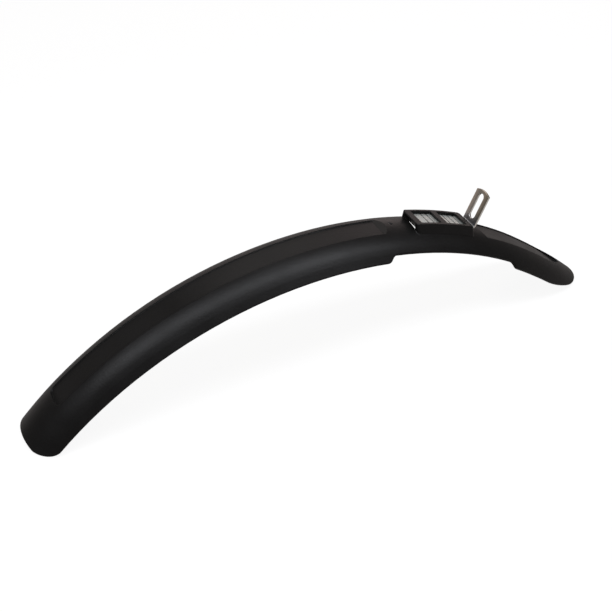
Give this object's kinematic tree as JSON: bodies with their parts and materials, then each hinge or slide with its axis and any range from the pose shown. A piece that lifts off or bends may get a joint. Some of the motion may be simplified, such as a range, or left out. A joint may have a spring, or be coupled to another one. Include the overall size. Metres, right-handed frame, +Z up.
{
  "type": "bicycle mudguard",
  "caption": "Curved plastic trough that keeps wheel spray off the rider, with a windowed holder in which a ribbed, slotted steel bracket slides to set its place.",
  "frame": {"origin": "middle of the box round the whole part, on the floor that the tail and the nose stand on", "axes": "+X along the blade towards the nose and the bracket's tab, +Y across the blade, +Z up"},
  "size_m": [0.5226, 0.065, 0.1172],
  "materials": {
    "blade_plastic": "fine matte moulded grain",
    "zinc_steel": "bright zinc plate"
  },
  "bodies": {
    "blade": {"mudguard_blade": "blade_plastic"},
    "bracket": {"steel_bracket": "zinc_steel"}
  },
  "joints": [
    {"name": "bracket_slide", "type": "hinge", "parent": "blade", "child": "bracket", "pos_m": [-0.00481, 0, -0.23941], "axis": [0, 1, 0], "range_deg": [0, 3.65]}
  ]
}
